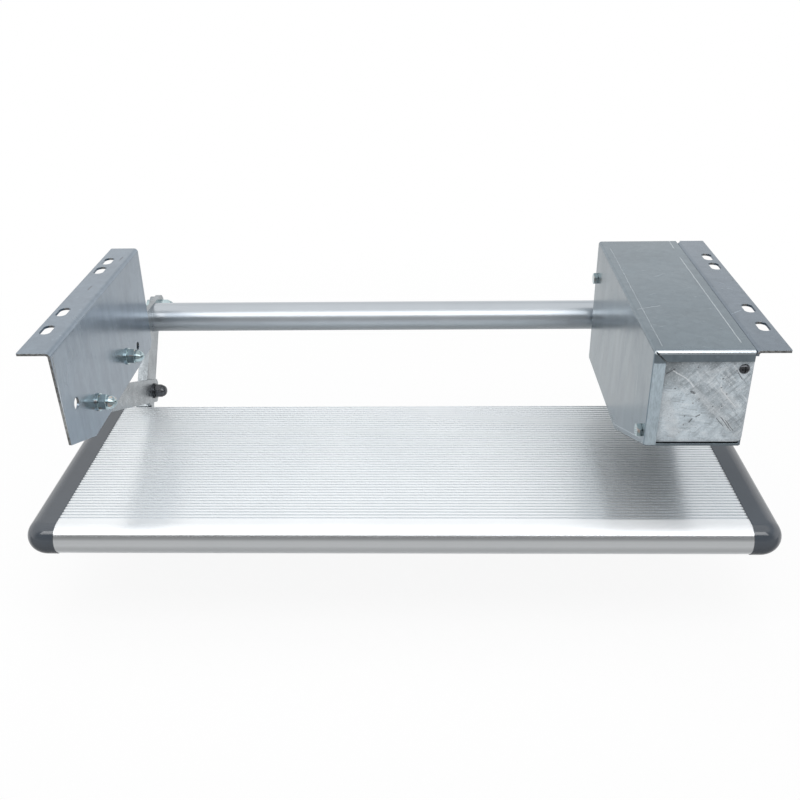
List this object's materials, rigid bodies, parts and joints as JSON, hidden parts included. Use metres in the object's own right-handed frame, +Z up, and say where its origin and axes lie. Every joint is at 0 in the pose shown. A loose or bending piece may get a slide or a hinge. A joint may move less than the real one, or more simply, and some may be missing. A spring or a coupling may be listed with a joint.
{
  "type": "electric entry step",
  "caption": "Electric entry step for a caravan door: folded brackets, a boxed gearmotor and coupled links carry a ribbed hollow tread with moulded end caps forward and down.",
  "frame": {"origin": "centre of the four outer flange slots, on the flanges' top faces", "axes": "+X forward out of the doorway, the way the step moves out; +Y to the right seen from the front; +Z up"},
  "size_m": [0.3185, 0.6534, 0.2166],
  "materials": {
    "bracket_sheet": "galvanised, softly mirrored, light scratches",
    "cover_sheet": "galvanised, softly mirrored, scored lines",
    "link_steel": "zinc plated, dull",
    "bar_steel": "galvanised tube, smooth",
    "tread_alloy": "anodised, satin",
    "cap_plastic": "dark grey, glossy",
    "gearbox_alloy": "die-cast",
    "motor_paint": "black paint",
    "grommet_rubber": "matt",
    "shaft_steel": "turned",
    "bush_brass": "turned",
    "bright_zinc": "bright zinc, bluish",
    "dark_zinc": "dark zinc"
  },
  "bodies": {
    "frame": {"left_bracket": "bracket_sheet", "right_bracket": "bracket_sheet", "motor_cover": "cover_sheet", "cover_screws": "bright_zinc", "panel_screw": "dark_zinc", "gearbox_housing": "gearbox_alloy", "motor_can": "motor_paint", "gearbox_screws": "bright_zinc", "cable_grommet": "grommet_rubber", "pivot_bolts": "bright_zinc", "pivot_head_washers": "bright_zinc", "pivot_spacers": "bright_zinc", "pivot_washers": "bright_zinc", "pivot_acorn_nuts": "bright_zinc"},
    "rear_swing": {"left_rear_link": "link_steel", "right_rear_link": "link_steel", "crossbar": "bar_steel", "rear_link_bush": "bush_brass", "output_shaft": "shaft_steel", "shaft_washer": "bright_zinc", "shaft_nut": "bright_zinc", "arm_pivot_bolts": "bright_zinc", "arm_pivot_lock_washers": "bright_zinc", "arm_pivot_nuts": "bright_zinc"},
    "left_front": {"left_front_link": "link_steel", "left_link_bush": "bush_brass", "left_link_stud": "dark_zinc", "left_link_washer": "dark_zinc", "left_link_acorn_nut": "dark_zinc"},
    "right_front": {"right_front_link": "link_steel", "right_link_bush": "bush_brass", "right_link_stud": "dark_zinc", "right_link_washer": "dark_zinc", "right_link_acorn_nut": "dark_zinc"},
    "step": {"left_arm": "link_steel", "right_arm": "link_steel", "arm_bushes": "bush_brass", "link_bolts": "bright_zinc", "link_bolt_washers": "bright_zinc", "tread": "tread_alloy", "left_end_cap": "cap_plastic", "right_end_cap": "cap_plastic", "tread_bolts": "bright_zinc", "tread_washers": "bright_zinc", "tread_nuts": "bright_zinc"}
  },
  "joints": [
    {"name": "rear_pivot", "type": "hinge", "parent": "frame", "child": "rear_swing", "pos_m": [-0.0394, 0, -0.0803], "axis": [0, -1, 0], "range_deg": [0, 137.17]},
    {"name": "left_front_pivot", "type": "hinge", "parent": "frame", "child": "left_front", "pos_m": [0.0498, -0.2707, -0.082], "axis": [0, -1, 0], "range_deg": [0, 93.6]},
    {"name": "right_front_pivot", "type": "hinge", "parent": "frame", "child": "right_front", "pos_m": [0.0498, 0.2707, -0.082], "axis": [0, -1, 0], "range_deg": [0, 93.6]},
    {"name": "arm_pivot", "type": "hinge", "parent": "rear_swing", "child": "step", "pos_m": [-0.18, 0, -0.0865], "axis": [0, -1, 0], "range_deg": [-137.2, 0]}
  ],
  "couplings": [
    {"joint": "left_front_pivot", "follows": "rear_pivot", "ratio": 0.68233},
    {"joint": "right_front_pivot", "follows": "rear_pivot", "ratio": 0.68233},
    {"joint": "arm_pivot", "follows": "rear_pivot", "ratio": -1}
  ]
}
